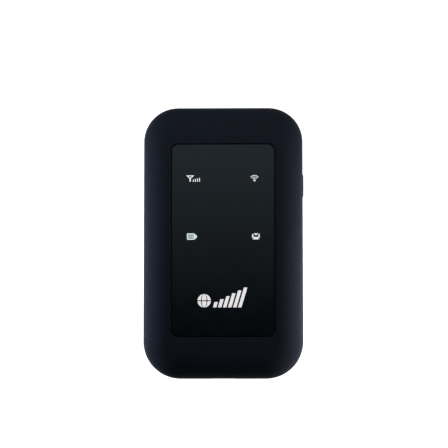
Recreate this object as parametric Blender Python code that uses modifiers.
"""Pocket mobile hotspot: a slim battery-powered wireless router that lies on its back.

Metres, +Z up. The origin is the centre of the flat back face, +Y is the end away from
the charging port, and the glossy front panel faces +Z. Each real piece is one object.
"""

import math

import bmesh
import bpy
from mathutils import Matrix

MM = 0.001

# ---- Driving dimensions -------------------------------------------------------------
WIDTH = 57.0 * MM
LENGTH = 97.0 * MM
HEIGHT = 14.2 * MM
CORNER_TOP = 12.3 * MM  # plan radius of the two corners at the +Y end
CORNER_BOTTOM = 13.3 * MM  # plan radius of the two corners at the port end
PART_LINE = 6.3 * MM  # height of the seam between rear cover and front shell
SEAM = 0.15 * MM  # open width of that seam
WALL = 1.4 * MM
FIT = 0.3 * MM  # clearance round a piece that drops into another
TOUCH = 0.05 * MM  # gap left between flat faces that touch
EDGE = 0.12 * MM  # small broken edge on moulded rims

# Front panel and the recess that it sits in
PANEL_WIDTH = 36.6 * MM
PANEL_LENGTH = 68.2 * MM
PANEL_CORNER = 2.4 * MM
PANEL_Y = 0.75 * MM
PANEL_THICKNESS = 0.9 * MM
TAPE_THICKNESS = 0.14 * MM
TAPE_WIDTH = 1.8 * MM
RECESS_GAP = 0.32 * MM
RECESS_FLOOR = 12.92 * MM
TRAY_WALL = 1.3 * MM  # sides and floor of the tray that hangs under the recess

# Rounded edges of the two shells, as quarter ellipses: how far in, and how high
FRONT_ROUND_IN = 9.0 * MM
FRONT_ROUND_UP = 4.6 * MM
INSIDE_ROUND_IN = 5.6 * MM
REAR_ROUND_IN = 6.2 * MM
REAR_ROUND_UP = 4.3 * MM
ARC_STEPS = 8  # segments in each plan corner
EDGE_STEPS = 6  # segments in each rounded edge

# Circuit board
BOARD_BOTTOM = 8.7 * MM
BOARD_TOP = 9.5 * MM
BOARD_INSET = 2.6 * MM
PART_Z = BOARD_TOP + TOUCH  # foot of everything soldered to the board's front side

# Middle frame
FRAME_INSET = 1.75 * MM
FRAME_WALL = 1.1 * MM
FRAME_TOP = 8.1 * MM
FRAME_FLOOR = 7.3 * MM
FRAME_RIM = 4.4 * MM
BAY_RIM = 2.1 * MM
BAY_WALL = 1.0 * MM

# Battery
BATTERY_X = (-22.0 * MM, 22.0 * MM)
BATTERY_Y = (-24.0 * MM, 38.0 * MM)
BATTERY_Z = (1.75 * MM, 6.95 * MM)
BATTERY_CAP = 2.7 * MM  # length of the plastic cap that carries the contacts
CONTACT_XS = (-3.0 * MM, 0.0, 3.0 * MM)

# Screws, from the back through frame and board into the front shell
SCREW_SPOTS = (
    (-20.5 * MM, 41.5 * MM),
    (20.5 * MM, 41.5 * MM),
    (-20.0 * MM, -41.5 * MM),
    (20.0 * MM, -41.5 * MM),
)
SCREW_R = 0.6 * MM
SCREW_HEAD_R = 1.25 * MM
SCREW_HEAD_H = 0.85 * MM
SCREW_TIP = 11.2 * MM
BOSS_R = 2.0 * MM

# Status lights: name, centre x, centre y
LIGHTS = (
    ("signal", -10.7 * MM, 22.7 * MM),
    ("wireless", 11.2 * MM, 22.8 * MM),
    ("battery", -11.1 * MM, 1.9 * MM),
    ("message", 11.6 * MM, 1.9 * MM),
)
WINDOW = (6.6 * MM, 4.4 * MM)
PIPE_Z = 10.7 * MM  # foot of the light pipes

# Shield cans on the board: name, x span, y span
SHIELDS = (
    ("baseband_shield", (-21 * MM, 7 * MM), (-28 * MM, -5 * MM)),
    ("wireless_shield", (-6 * MM, 6 * MM), (2 * MM, 24 * MM)),
    ("radio_shield", (-16 * MM, 16 * MM), (29.5 * MM, 41.5 * MM)),
)
SHIELD_HEIGHT = 1.6 * MM
SHIELD_WALL = 0.2 * MM

# Chips on the board: name, centre, plan size
CHIPS = (
    ("baseband_chip", (-13 * MM, -16 * MM), (12 * MM, 12 * MM)),
    ("memory_chip", (0.5 * MM, -16 * MM), (8 * MM, 10 * MM)),
    ("wireless_chip", (0, 14 * MM), (6 * MM, 6 * MM)),
    ("radio_transceiver", (-8 * MM, 35.5 * MM), (7 * MM, 7 * MM)),
    ("power_amplifier", (7 * MM, 35.5 * MM), (5 * MM, 4 * MM)),
    ("charger_chip", (15 * MM, -24 * MM), (5 * MM, 5 * MM)),
)
CHIP_HEIGHT = 0.85 * MM

# Power button on the +X side
BUTTON_Y = 20.4 * MM
BUTTON_Z = 8.4 * MM
BUTTON_LENGTH = 8.0 * MM
BUTTON_HEIGHT = 2.2 * MM
BUTTON_PROUD = 0.3 * MM
BUTTON_GAP = 0.25 * MM
FLANGE_X = (26.05 * MM, 26.75 * MM)  # the flange that keeps the button in the shell

# Snap hooks of the rear cover: reach along x or y, height, and length
HOOK_X = (26.45 * MM, 27.3 * MM)
HOOK_Y = (46.45 * MM, 47.3 * MM)
HOOK_Z = (4.9 * MM, 5.8 * MM)
HOOK_LENGTH = 5.0 * MM

# Battery contact block, its spring blades and the card window beside it
CONTACT_Y = (-27.2 * MM, -24.55 * MM)
BLADE_Y = (-25.8 * MM, -24.1 * MM)
BLADE_Z = (3.7 * MM, 5.6 * MM)
CARD_WINDOW = ((-16 * MM, 16 * MM), (-41 * MM, -27.5 * MM))

# Antenna films under the middle frame: name, x span, y span
ANTENNAS = (
    ("main_antenna", (-17 * MM, 17 * MM), (40.2 * MM, 44.6 * MM)),
    ("diversity_antenna", (-25.4 * MM, -23.6 * MM), (-18 * MM, 30 * MM)),
    ("wireless_antenna", (23.6 * MM, 25.4 * MM), (-20 * MM, 10 * MM)),
)
# Spring clips that feed the antennas: name, centre x, centre y
CLIPS = (
    ("main_antenna_clip", 12 * MM, 43 * MM),
    ("diversity_antenna_clip", -24.3 * MM, 24 * MM),
    ("wireless_antenna_clip", 24.3 * MM, 4 * MM),
)

# Reset switch beside the card socket, and the card that slides along +X
RESET_X = 20.5 * MM
RESET_Y = -31.0 * MM
SIM_X = (-15.5 * MM, -0.5 * MM)
SIM_Y = (-40.8 * MM, -27.6 * MM)
SIM_Z = (7.0 * MM, 8.6 * MM)
CARD_SIZE = (15.0 * MM, 12.0 * MM, 0.76 * MM)
CARD_X = (-14.0 * MM, 1.0 * MM)

# Charging port, in the middle of the -Y end
PORT_WIDTH = 7.5 * MM
PORT_HEIGHT = 2.6 * MM
PORT_Y = (-47.9 * MM, -42.5 * MM)
PORT_Z = 8.65 * MM

PALETTE = {
    # name: (red, green, blue), roughness, metallic
    "shell_black": ((0.016, 0.018, 0.024), 0.45, 0.0),
    "panel_black": ((0.006, 0.007, 0.009), 0.08, 0.0),
    "tape": ((0.03, 0.03, 0.03), 0.9, 0.0),
    "light_pipe": ((0.85, 0.87, 0.86), 0.4, 0.0),
    "led": ((0.9, 0.88, 0.75), 0.3, 0.0),
    "board_green": ((0.01, 0.09, 0.05), 0.5, 0.0),
    "shield_steel": ((0.6, 0.6, 0.6), 0.35, 1.0),
    "chip_black": ((0.02, 0.02, 0.02), 0.6, 0.0),
    "frame_black": ((0.02, 0.02, 0.022), 0.6, 0.0),
    "steel": ((0.55, 0.55, 0.56), 0.3, 1.0),
    "gold": ((0.83, 0.62, 0.25), 0.3, 1.0),
    "antenna_film": ((0.12, 0.06, 0.02), 0.5, 0.0),
    "battery_wrap": ((0.05, 0.05, 0.055), 0.5, 0.0),
    "label_white": ((0.8, 0.8, 0.8), 0.7, 0.0),
    "foam": ((0.04, 0.04, 0.04), 1.0, 0.0),
    "card_white": ((0.75, 0.76, 0.78), 0.5, 0.0),
}


# ---- Scene helpers ------------------------------------------------------------------
def clear_scene():
    for obj in list(bpy.data.objects):
        bpy.data.objects.remove(obj)


def new_collection(name):
    made = bpy.data.collections.new(name)
    bpy.context.scene.collection.children.link(made)
    return made


def make_finish(name, colour, roughness, metallic):
    finish = bpy.data.materials.new(name)
    finish.use_nodes = True
    shader = finish.node_tree.nodes["Principled BSDF"]
    shader.inputs["Base Color"].default_value = (*colour, 1.0)
    shader.inputs["Roughness"].default_value = roughness
    shader.inputs["Metallic"].default_value = metallic
    return finish


clear_scene()
PARTS = new_collection("mobile_hotspot")
HELPERS = new_collection("cutters")
FINISHES = {name: make_finish(name, *values) for name, values in PALETTE.items()}


def moving_body(name, location, parent=None):
    """An empty on a joint's axis, which carries the pieces that move together."""
    empty = bpy.data.objects.new(name, None)
    empty.location = location
    empty.parent = parent
    PARTS.objects.link(empty)
    return empty


# The rear cover stays on the table, and the housing lifts off it with all it carries.
COVER = moving_body("rear_cover_base", (0, 0, 0))
HOUSING = moving_body("housing_slide", (0, 0, 0), COVER)


def add_part(name, mesh, finish, location=(0, 0, 0), rotation=(0, 0, 0), body=None):
    """A piece on a body, or on the housing if none is named; with no finish, a cutter."""
    obj = bpy.data.objects.new(name, mesh)
    obj.location = location
    obj.rotation_euler = rotation
    if finish is None:
        HELPERS.objects.link(obj)
        obj.hide_render = True
        obj.display_type = "WIRE"
        return obj
    PARTS.objects.link(obj)
    mesh.materials.append(FINISHES[finish])
    mesh.shade_smooth()
    mesh.set_sharp_from_angle(angle=math.radians(30))
    obj.parent = body or HOUSING
    obj.matrix_parent_inverse = Matrix.Translation(-obj.parent.location)
    return obj


def mesh_from(shape, name):
    mesh = bpy.data.meshes.new(name)
    shape.to_mesh(mesh)
    shape.free()
    return mesh


def round_edges(obj, width, segments=2):
    bevel = obj.modifiers.new("round_edges", "BEVEL")
    bevel.width = width
    bevel.segments = segments
    bevel.limit_method = "ANGLE"


def boolean(target, tool, operation):
    step = target.modifiers.new(f"{operation.lower()}_{tool.name}", "BOOLEAN")
    step.operation = operation
    step.object = tool


def cut(target, *tools):
    for tool in tools:
        boolean(target, tool, "DIFFERENCE")


def join(target, *tools):
    for tool in tools:
        boolean(target, tool, "UNION")


# ---- Shapes -------------------------------------------------------------------------
def block(name, x, y, z, finish=None, body=None, rounded=0.0, segments=2):
    """A box between two limits on each axis, with its origin at its centre."""
    spans = (x, y, z)
    centre = [(low + high) / 2 for low, high in spans]
    shape = bmesh.new()
    bmesh.ops.create_cube(shape, size=1.0)
    bmesh.ops.scale(shape, vec=[high - low for low, high in spans], verts=shape.verts)
    obj = add_part(name, mesh_from(shape, name), finish, centre, body=body)
    if rounded:
        round_edges(obj, rounded, segments)
    return obj


def rod(name, radius, x, y, z, finish=None, body=None, sides=16):
    """An upright cylinder between two heights."""
    shape = bmesh.new()
    bmesh.ops.create_cone(
        shape,
        cap_ends=True,
        segments=sides,
        radius1=radius,
        radius2=radius,
        depth=z[1] - z[0],
    )
    centre = (x, y, (z[0] + z[1]) / 2)
    return add_part(name, mesh_from(shape, name), finish, centre, body=body)


def plate(name, outline, thickness, finish, location, rotation=(0, 0, 0), body=None):
    """A flat outline with thickness, made as a filled 2D curve and turned into a mesh."""
    curve = bpy.data.curves.new(name, "CURVE")
    curve.dimensions = "2D"
    curve.fill_mode = "BOTH"
    curve.extrude = thickness / 2
    spline = curve.splines.new("POLY")
    spline.points.add(len(outline) - 1)
    for point, (x, y) in zip(spline.points, outline):
        point.co = (x, y, 0, 1)
    spline.use_cyclic_u = True
    drawn = bpy.data.objects.new(name, curve)
    HELPERS.objects.link(drawn)
    bpy.context.view_layer.update()
    graph = bpy.context.evaluated_depsgraph_get()
    mesh = bpy.data.meshes.new_from_object(drawn.evaluated_get(graph))
    bpy.data.objects.remove(drawn)
    shape = bmesh.new()
    shape.from_mesh(mesh)
    bmesh.ops.remove_doubles(shape, verts=shape.verts, dist=0.001 * MM)
    bmesh.ops.recalc_face_normals(shape, faces=shape.faces)
    shape.to_mesh(mesh)
    shape.free()
    return add_part(name, mesh, finish, location, rotation, body)


def rounded_outline(half_x, half_y, radius_top, radius_bottom, middle_y=0.0):
    """Corner arcs of a rounded rectangle, anticlockwise from the +X side of the top."""
    corners = (
        (1, 1, radius_top, 0),
        (-1, 1, radius_top, 90),
        (-1, -1, radius_bottom, 180),
        (1, -1, radius_bottom, 270),
    )
    points = []
    for side_x, side_y, radius, start in corners:
        x = side_x * (half_x - radius)
        y = side_y * (half_y - radius) + middle_y
        for step in range(ARC_STEPS + 1):
            angle = math.radians(start + 90 * step / ARC_STEPS)
            points.append((x + radius * math.cos(angle), y + radius * math.sin(angle)))
    return points


def body_outline(inset):
    """The hotspot's plan outline, moved inwards."""
    return rounded_outline(
        WIDTH / 2 - inset, LENGTH / 2 - inset, CORNER_TOP - inset, CORNER_BOTTOM - inset
    )


def panel_outline(grow):
    """The front panel's plan outline, moved outwards."""
    corner = max(PANEL_CORNER + grow, 0.3 * MM)
    return rounded_outline(
        PANEL_WIDTH / 2 + grow, PANEL_LENGTH / 2 + grow, corner, corner, PANEL_Y
    )


def loft(name, sections, finish, body=None, location=(0, 0, 0)):
    """A solid through (outline, height) sections in order, capped at both ends."""
    shape = bmesh.new()
    rings = [
        [shape.verts.new((x - location[0], y - location[1], z - location[2])) for x, y in outline]
        for outline, z in sections
    ]
    count = len(rings[0])
    for low, high in zip(rings, rings[1:]):
        for i in range(count):
            j = (i + 1) % count
            shape.faces.new((low[i], low[j], high[j], high[i]))
    shape.faces.new(rings[0])
    shape.faces.new(rings[-1])
    bmesh.ops.recalc_face_normals(shape, faces=shape.faces)
    return add_part(name, mesh_from(shape, name), finish, location, body=body)


def quarter(inset, height, reach_in, reach_up, steps=EDGE_STEPS):
    """(inset, height) points of a quarter ellipse, from its flat end to its upright end."""
    points = []
    for step in range(steps + 1):
        angle = math.radians(90 * step / steps)
        points.append(
            (
                inset + reach_in * (1 - math.sin(angle)),
                height + reach_up * math.cos(angle),
            )
        )
    return points


# ---- Front shell and its panel ------------------------------------------------------
def build_front_shell():
    """The moulding: recess, crown, rounded sides, and back in along its inside."""
    floor = panel_outline(RECESS_GAP)
    lip = panel_outline(RECESS_GAP + EDGE)
    sections = [(floor, RECESS_FLOOR), (floor, HEIGHT - EDGE), (lip, HEIGHT)]
    side_top = HEIGHT - FRONT_ROUND_UP
    for inset, height in quarter(0, side_top, FRONT_ROUND_IN, FRONT_ROUND_UP):
        sections.append((body_outline(inset), height))
    bottom = PART_LINE + SEAM
    sections.append((body_outline(0), bottom + EDGE))
    sections.append((body_outline(EDGE), bottom))
    sections.append((body_outline(WALL), bottom))
    inside_up = RECESS_FLOOR - side_top
    for inset, height in reversed(quarter(WALL, side_top, INSIDE_ROUND_IN, inside_up, 4)):
        sections.append((body_outline(inset), height))
    tray = panel_outline(RECESS_GAP + TRAY_WALL)
    sections.append((tray, RECESS_FLOOR))
    sections.append((tray, RECESS_FLOOR - TRAY_WALL))
    shell = loft("front_shell", sections, "shell_black")

    boss_z = (BOARD_TOP + 4 * TOUCH, RECESS_FLOOR + FIT)
    hole_z = (BOARD_TOP - MM, SCREW_TIP + 2 * FIT)
    for i, (x, y) in enumerate(SCREW_SPOTS):
        join(shell, rod(f"boss_{i}", BOSS_R, x, y, boss_z))
    for i, (x, y) in enumerate(SCREW_SPOTS):
        cut(shell, rod(f"boss_hole_{i}", SCREW_R + FIT / 2, x, y, hole_z))
    window_z = (PIPE_Z, HEIGHT - TAPE_THICKNESS)
    for name, x, y in LIGHTS:
        spans = [(c - w / 2, c + w / 2) for c, w in zip((x, y), WINDOW)]
        cut(shell, block(f"window_{name}", *spans, window_z))
    half_length = BUTTON_LENGTH / 2 + BUTTON_GAP
    half_height = BUTTON_HEIGHT / 2 + BUTTON_GAP
    opening = block(
        "button_opening",
        (WIDTH / 2 - WALL - MM, WIDTH / 2 + MM),
        (BUTTON_Y - half_length, BUTTON_Y + half_length),
        (BUTTON_Z - half_height, BUTTON_Z + half_height),
    )
    port = plate(
        "port_opening",
        port_outline(FIT),
        2 * (WALL + FIT),
        None,
        (0, -LENGTH / 2, PORT_Z),
        (math.radians(90), 0, 0),
    )
    cut(shell, opening, port)


def build_panel():
    bottom = RECESS_FLOOR + TAPE_THICKNESS + 2 * TOUCH
    top = bottom + PANEL_THICKNESS
    polish = 0.15 * MM
    sections = [
        (panel_outline(0), bottom),
        (panel_outline(0), top - polish),
        (panel_outline(-polish), top),
    ]
    loft("front_panel", sections, "panel_black")

    tape_low = RECESS_FLOOR + TOUCH
    outer = panel_outline(-0.2 * MM)
    inner = panel_outline(-0.2 * MM - TAPE_WIDTH)
    tape = loft("panel_tape", [(outer, tape_low), (outer, tape_low + TAPE_THICKNESS)], "tape")
    hole = loft("tape_hole", [(inner, tape_low - MM), (inner, tape_low + MM)], None)
    cut(tape, hole)


def build_lights():
    """A light-emitting diode on the board under each icon, and a clear pipe above it."""
    for name, x, y in LIGHTS:
        half_x, half_y = (size / 2 - FIT for size in WINDOW)
        flange = 1.1 * MM
        pipe = block(
            f"light_pipe_{name}",
            (x - half_x, x + half_x),
            (y - half_y, y + half_y),
            (PIPE_Z + FIT, RECESS_FLOOR - TOUCH),
            "light_pipe",
        )
        foot = block(
            f"pipe_foot_{name}",
            (x - half_x - flange, x + half_x + flange),
            (y - half_y - flange / 2, y + half_y + flange / 2),
            (PIPE_Z, PIPE_Z + 2 * FIT),
        )
        join(pipe, foot)
        block(
            f"led_{name}",
            (x - 0.8 * MM, x + 0.8 * MM),
            (y - 0.4 * MM, y + 0.4 * MM),
            (PART_Z, PART_Z + 0.6 * MM),
            "led",
        )


# ---- Circuit board and what is soldered to it -----------------------------------------
def build_board():
    board = loft(
        "main_board",
        [(body_outline(BOARD_INSET), BOARD_BOTTOM), (body_outline(BOARD_INSET), BOARD_TOP)],
        "board_green",
    )
    through = (BOARD_BOTTOM - MM, BOARD_TOP + MM)
    half_port = PORT_WIDTH / 2 + FIT
    port_notch = block("board_port_notch", (-half_port, half_port), (-50 * MM, -42.2 * MM), through)
    button_y = (BUTTON_Y - 5.2 * MM, BUTTON_Y + 5.2 * MM)
    switch_y = (BUTTON_Y - 2.6 * MM, BUTTON_Y + 2.6 * MM)
    button_notch = block("board_button_notch", (24.3 * MM, 30 * MM), button_y, through)
    switch_notch = block("board_switch_notch", (21.3 * MM, 30 * MM), switch_y, through)
    cut(board, port_notch, button_notch, switch_notch)
    for i, (x, y) in enumerate(SCREW_SPOTS):
        cut(board, rod(f"board_hole_{i}", 1.0 * MM, x, y, through))


def build_shields():
    """Stamped cans, open at the board."""
    top = PART_Z + SHIELD_HEIGHT
    for name, x, y in SHIELDS:
        can = block(name, x, y, (PART_Z, top), "shield_steel", rounded=0.25 * MM)
        inside = [(low + SHIELD_WALL, high - SHIELD_WALL) for low, high in (x, y)]
        cut(can, block(f"{name}_inside", *inside, (PART_Z - MM, top - SHIELD_WALL)))


def build_chips():
    for name, centre, size in CHIPS:
        spans = [(c - side / 2, c + side / 2) for c, side in zip(centre, size)]
        block(name, *spans, (PART_Z, PART_Z + CHIP_HEIGHT), "chip_black")


# ---- Charging port --------------------------------------------------------------------
def port_outline(grow):
    """The port's mouth: flat on one long side, with two sloping corners on the other."""
    half_x = PORT_WIDTH / 2 + grow
    half_z = PORT_HEIGHT / 2 + grow
    slope_x, slope_z = 1.0 * MM, 0.9 * MM
    return [
        (-half_x, half_z),
        (half_x, half_z),
        (half_x, slope_z - half_z),
        (half_x - slope_x, -half_z),
        (slope_x - half_x, -half_z),
        (-half_x, slope_z - half_z),
    ]


def build_port():
    depth = PORT_Y[1] - PORT_Y[0]
    centre = (0, sum(PORT_Y) / 2, PORT_Z)
    upright = (math.radians(90), 0, 0)
    shell = plate("usb_shell", port_outline(0), depth, "steel", centre, upright)
    metal = 0.3 * MM
    mouth = plate("usb_mouth", port_outline(-metal), depth + MM, None, centre, upright)
    cut(shell, mouth)
    back = (PORT_Y[1] - 1.2 * MM, PORT_Y[1] - 0.2 * MM)
    base = block(
        "usb_tongue",
        (-2.6 * MM, 2.6 * MM),
        back,
        (PORT_Z - 0.85 * MM, PORT_Z + 0.9 * MM),
        "chip_black",
    )
    tongue = block(
        "tongue_blade",
        (-2.2 * MM, 2.2 * MM),
        (PORT_Y[0] + 0.6 * MM, back[1] - 0.3 * MM),
        (PORT_Z + 0.05 * MM, PORT_Z + 0.6 * MM),
    )
    join(base, tongue)


# ---- Power button, reset switch and their plungers --------------------------------------
def build_power_button():
    carrier = moving_body("power_button_slide", (WIDTH / 2, BUTTON_Y, BUTTON_Z), HOUSING)
    half_length = BUTTON_LENGTH / 2
    half_height = BUTTON_HEIGHT / 2
    cap = block(
        "power_button",
        (FLANGE_X[1] - FIT / 2, WIDTH / 2 + BUTTON_PROUD),
        (BUTTON_Y - half_length, BUTTON_Y + half_length),
        (BUTTON_Z - half_height, BUTTON_Z + half_height),
        "shell_black",
        carrier,
        rounded=0.25 * MM,
    )
    flange = block(
        "button_flange",
        FLANGE_X,
        (BUTTON_Y - half_length - 0.8 * MM, BUTTON_Y + half_length + 0.8 * MM),
        (BUTTON_Z - half_height - 0.6 * MM, BUTTON_Z + half_height + 0.6 * MM),
    )
    stem = block(
        "button_stem",
        (24.9 * MM, FLANGE_X[0] + FIT / 2),
        (BUTTON_Y - 1.0 * MM, BUTTON_Y + 1.0 * MM),
        (BUTTON_Z - 0.6 * MM, BUTTON_Z + 0.6 * MM),
    )
    join(cap, flange, stem)

    switch = block(
        "power_switch",
        (21.6 * MM, 24.0 * MM),
        (BUTTON_Y - 2.3 * MM, BUTTON_Y + 2.3 * MM),
        (BUTTON_Z - 0.9 * MM, BUTTON_Z + 0.9 * MM),
        "steel",
    )
    plunger_y = (BUTTON_Y - 0.8 * MM, BUTTON_Y + 0.8 * MM)
    plunger_z = (BUTTON_Z - 0.45 * MM, BUTTON_Z + 0.45 * MM)
    bore = block(
        "power_switch_bore",
        (22.6 * MM, 25 * MM),
        [y + side * FIT / 2 for y, side in zip(plunger_y, (-1, 1))],
        [z + side * FIT / 2 for z, side in zip(plunger_z, (-1, 1))],
    )
    cut(switch, bore)
    plunger_slide = moving_body("power_plunger_slide", (24.0 * MM, BUTTON_Y, BUTTON_Z), HOUSING)
    block(
        "power_switch_plunger",
        (23.2 * MM, 24.8 * MM),
        plunger_y,
        plunger_z,
        "chip_black",
        plunger_slide,
    )


def build_reset_switch():
    body_z = (BOARD_BOTTOM - 0.95 * MM, BOARD_BOTTOM - TOUCH)
    half = 1.5 * MM
    spans = (RESET_X - half, RESET_X + half), (RESET_Y - half, RESET_Y + half)
    switch = block("reset_switch", *spans, body_z, "steel")
    bore = (body_z[0] - MM, body_z[1] - 0.15 * MM)
    cut(switch, rod("reset_bore", 0.65 * MM, RESET_X, RESET_Y, bore))
    carrier = moving_body("reset_plunger_slide", (RESET_X, RESET_Y, body_z[0]), HOUSING)
    plunger_z = (7.5 * MM, body_z[0] + 0.4 * MM)
    rod("reset_plunger", 0.5 * MM, RESET_X, RESET_Y, plunger_z, "chip_black", carrier, 12)


# ---- Card socket and card ---------------------------------------------------------------
def build_card():
    socket = block("sim_socket", SIM_X, SIM_Y, SIM_Z, "steel")
    slot = block(
        "sim_slot",
        (SIM_X[0] + 1.2 * MM, SIM_X[1] + MM),
        (SIM_Y[0] + 0.4 * MM, SIM_Y[1] - 0.4 * MM),
        (SIM_Z[0] + 0.35 * MM, SIM_Z[1] - 0.25 * MM),
    )
    cut(socket, slot)
    long_x, long_y, thick = CARD_SIZE
    corner = 2.2 * MM
    outline = [
        (-long_x / 2 + corner, -long_y / 2),
        (long_x / 2, -long_y / 2),
        (long_x / 2, long_y / 2),
        (-long_x / 2, long_y / 2),
        (-long_x / 2, -long_y / 2 + corner),
    ]
    centre = (sum(CARD_X) / 2, sum(SIM_Y) / 2, SIM_Z[0] + 0.45 * MM + thick / 2)
    carrier = moving_body("sim_card_slide", centre, HOUSING)
    plate("sim_card", outline, thick, "card_white", centre, body=carrier)
    top = centre[2] + thick / 2 + TOUCH / 2
    block(
        "sim_contacts",
        (CARD_X[0] + 2 * MM, CARD_X[0] + 10 * MM),
        (centre[1] - 3.4 * MM, centre[1] + 3.4 * MM),
        (top, top + 0.06 * MM),
        "gold",
        carrier,
    )


# ---- Battery and its contacts -------------------------------------------------------------
def build_battery():
    middle = [sum(span) / 2 for span in (BATTERY_X, BATTERY_Y, BATTERY_Z)]
    carrier = moving_body("battery_slide", middle, HOUSING)
    cap_y = (BATTERY_Y[0], BATTERY_Y[0] + BATTERY_CAP)
    pack_y = (cap_y[1] + TOUCH, BATTERY_Y[1])
    block(
        "battery_pack", BATTERY_X, pack_y, BATTERY_Z, "battery_wrap", carrier, 0.9 * MM, 3
    )
    cap = block(
        "battery_end_cap", BATTERY_X, cap_y, BATTERY_Z, "frame_black", carrier, 0.4 * MM
    )
    pad_half, pad_deep = 0.95 * MM, 0.15 * MM
    pad_z = (3.0 * MM, 6.0 * MM)
    for number, x in enumerate(CONTACT_XS, 1):
        pocket = block(
            f"pad_pocket_{number}",
            (x - pad_half - TOUCH, x + pad_half + TOUCH),
            (cap_y[0] - MM, cap_y[0] + pad_deep + TOUCH),
            (pad_z[0] - TOUCH, pad_z[1] + TOUCH),
        )
        cut(cap, pocket)
        block(
            f"battery_pad_{number}",
            (x - pad_half, x + pad_half),
            (cap_y[0], cap_y[0] + pad_deep),
            pad_z,
            "gold",
            carrier,
        )


def build_battery_contacts():
    low, high = 3.0 * MM, BOARD_BOTTOM - 0.1 * MM
    holder = block(
        "battery_contact_block",
        (-5.5 * MM, 5.5 * MM),
        CONTACT_Y,
        (low, high),
        "chip_black",
    )
    carrier = moving_body("battery_contact_slide", (0, BATTERY_Y[0], 4.6 * MM), HOUSING)
    for number, x in enumerate(CONTACT_XS, 1):
        slot = block(
            f"blade_slot_{number}",
            (x - 0.7 * MM, x + 0.7 * MM),
            (BLADE_Y[0] - 2 * FIT, BLADE_Y[1] + MM),
            (BLADE_Z[0] - FIT, BLADE_Z[1] + FIT),
        )
        cut(holder, slot)
        block(
            f"battery_blade_{number}",
            (x - 0.45 * MM, x + 0.45 * MM),
            BLADE_Y,
            BLADE_Z,
            "gold",
            carrier,
            0.35 * MM,
            2,
        )


# ---- Middle frame, screws, antennas and label -----------------------------------------------
def hook_places():
    """(x span, y span) of the six snap hooks, just inside the rear cover's wall."""
    half = HOOK_LENGTH / 2
    places = []
    for side in (-1, 1):
        span_x = sorted(side * value for value in HOOK_X)
        for y in (-22 * MM, 31 * MM):
            places.append((span_x, (y - half, y + half)))
    for side, x in ((-1, -14 * MM), (1, 0)):
        places.append(((x - half, x + half), sorted(side * value for value in HOOK_Y)))
    return places


def build_middle_frame():
    outer = body_outline(FRAME_INSET)
    inner = body_outline(FRAME_INSET + FRAME_WALL)
    sections = [(outer, FRAME_TOP), (outer, FRAME_RIM), (inner, FRAME_RIM), (inner, FRAME_FLOOR)]
    frame = loft("middle_frame", sections, "frame_black")

    bay_x = (BATTERY_X[0] - FIT, BATTERY_X[1] + FIT)
    bay_y = (BATTERY_Y[0] - FIT, BATTERY_Y[1] + FIT)
    wall_x = (bay_x[0] - BAY_WALL, bay_x[1] + BAY_WALL)
    wall_y = (bay_y[0] - BAY_WALL, bay_y[1] + BAY_WALL)
    bay = block("bay_walls", wall_x, wall_y, (BAY_RIM, FRAME_FLOOR + 0.3 * MM))
    join(frame, bay)
    pocket = block("bay_pocket", bay_x, bay_y, (0, FRAME_FLOOR))
    through = (5 * MM, 10 * MM)
    window = block("card_window", *CARD_WINDOW, through)
    contact = block("contact_notch", (-5.9 * MM, 5.9 * MM), (-28 * MM, -24.2 * MM), (0, 10 * MM))
    half_port = PORT_WIDTH / 2 + 2 * FIT
    port = block("port_notch", (-half_port, half_port), (-50 * MM, -42.1 * MM), (7 * MM, 10 * MM))
    button_y = (BUTTON_Y - 5.6 * MM, BUTTON_Y + 5.6 * MM)
    button = block("button_notch", (24.6 * MM, 30 * MM), button_y, (6.4 * MM, 10 * MM))
    switch_y = (BUTTON_Y - 2.7 * MM, BUTTON_Y + 2.7 * MM)
    switch = block("switch_notch", (21.2 * MM, 26 * MM), switch_y, (7.1 * MM, 10 * MM))
    reset = rod("reset_hole", 0.8 * MM, RESET_X, RESET_Y, through)
    reset_room = block(
        "reset_room",
        (RESET_X - 1.8 * MM, RESET_X + 1.8 * MM),
        (RESET_Y - 1.8 * MM, RESET_Y + 1.8 * MM),
        (7.65 * MM, 10 * MM),
    )
    cut(frame, pocket, window, contact, port, button, switch, reset, reset_room)
    for i, (x, y) in enumerate(SCREW_SPOTS):
        cut(frame, rod(f"frame_hole_{i}", 0.8 * MM, x, y, through))
    for i, (x, y) in enumerate(hook_places()):
        groove_x = (x[0] - FIT, x[1] + FIT)
        groove_y = (y[0] - FIT, y[1] + FIT)
        cut(frame, block(f"hook_groove_{i}", groove_x, groove_y, (3 * MM, 6.2 * MM)))


def build_screws():
    for number, (x, y) in enumerate(SCREW_SPOTS, 1):
        seat = FRAME_FLOOR - TOUCH
        screw = rod(f"screw_{number}", SCREW_R, x, y, (seat - 0.3 * MM, SCREW_TIP), "steel")
        head = rod(f"screw_head_{number}", SCREW_HEAD_R, x, y, (seat - SCREW_HEAD_H, seat))
        join(screw, head)
        for turn in (0, 90):
            slot = block(
                f"screw_slot_{number}_{turn}",
                (x - 0.8 * MM, x + 0.8 * MM),
                (y - 0.13 * MM, y + 0.13 * MM),
                (seat - 2 * MM, seat - SCREW_HEAD_H + 0.4 * MM),
            )
            slot.rotation_euler.z = math.radians(turn)
            cut(screw, slot)


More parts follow.
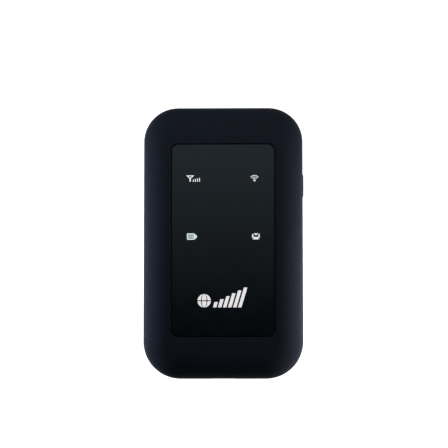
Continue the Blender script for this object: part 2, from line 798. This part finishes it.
def build_antennas():
    """Printed films on the middle frame's back side, and the clips that feed them."""
    film = (FRAME_FLOOR - 0.25 * MM, FRAME_FLOOR - TOUCH)
    for name, x, y in ANTENNAS:
        block(name, x, y, film, "antenna_film")
    clip_z = (FRAME_TOP + TOUCH, BOARD_BOTTOM - TOUCH)
    for name, x, y in CLIPS:
        clip = block(name, (x - MM, x + MM), (y - 0.6 * MM, y + 0.6 * MM), clip_z, "gold")
        gap = (clip_z[0] + 0.12 * MM, clip_z[1] - 0.12 * MM)
        cut(clip, block(f"{name}_gap", (x - 0.8 * MM, x + 2 * MM), (y - MM, y + MM), gap))


def build_bay_label():
    under = FRAME_FLOOR - TOUCH
    thin = (under - 0.1 * MM, under)
    block("bay_label", (-17 * MM, 17 * MM), (-16 * MM, 30 * MM), thin, "label_white")


# ---- Rear cover --------------------------------------------------------------------------------
def build_rear_cover():
    sections = []
    for inset, height in quarter(0, 0, REAR_ROUND_IN, REAR_ROUND_UP):
        sections.append((body_outline(inset), REAR_ROUND_UP - height))
    sections.append((body_outline(0), PART_LINE - EDGE))
    sections.append((body_outline(EDGE), PART_LINE))
    sections.append((body_outline(WALL), PART_LINE))
    inside = quarter(WALL, 0, REAR_ROUND_IN - WALL, REAR_ROUND_UP - WALL, 4)
    for inset, height in reversed(inside):
        sections.append((body_outline(inset), REAR_ROUND_UP - height))
    cover = loft("rear_cover", sections, "shell_black", COVER)
    for i, (x, y) in enumerate(hook_places()):
        join(cover, block(f"hook_{i}", x, y, HOOK_Z))
    notch = rod("nail_notch", 5.0 * MM, 0, LENGTH / 2 + 4.0 * MM, (5.5 * MM, 8 * MM), sides=32)
    cut(cover, notch)
    floor = WALL + TOUCH
    block(
        "battery_foam_pad",
        (-9 * MM, 9 * MM),
        (-8 * MM, 22 * MM),
        (floor, BATTERY_Z[0] - TOUCH),
        "foam",
        COVER,
    )


build_front_shell()
build_panel()
build_lights()
build_board()
build_shields()
build_chips()
build_port()
build_power_button()
build_reset_switch()
build_card()
build_battery()
build_battery_contacts()
build_middle_frame()
build_screws()
build_antennas()
build_bay_label()
build_rear_cover()
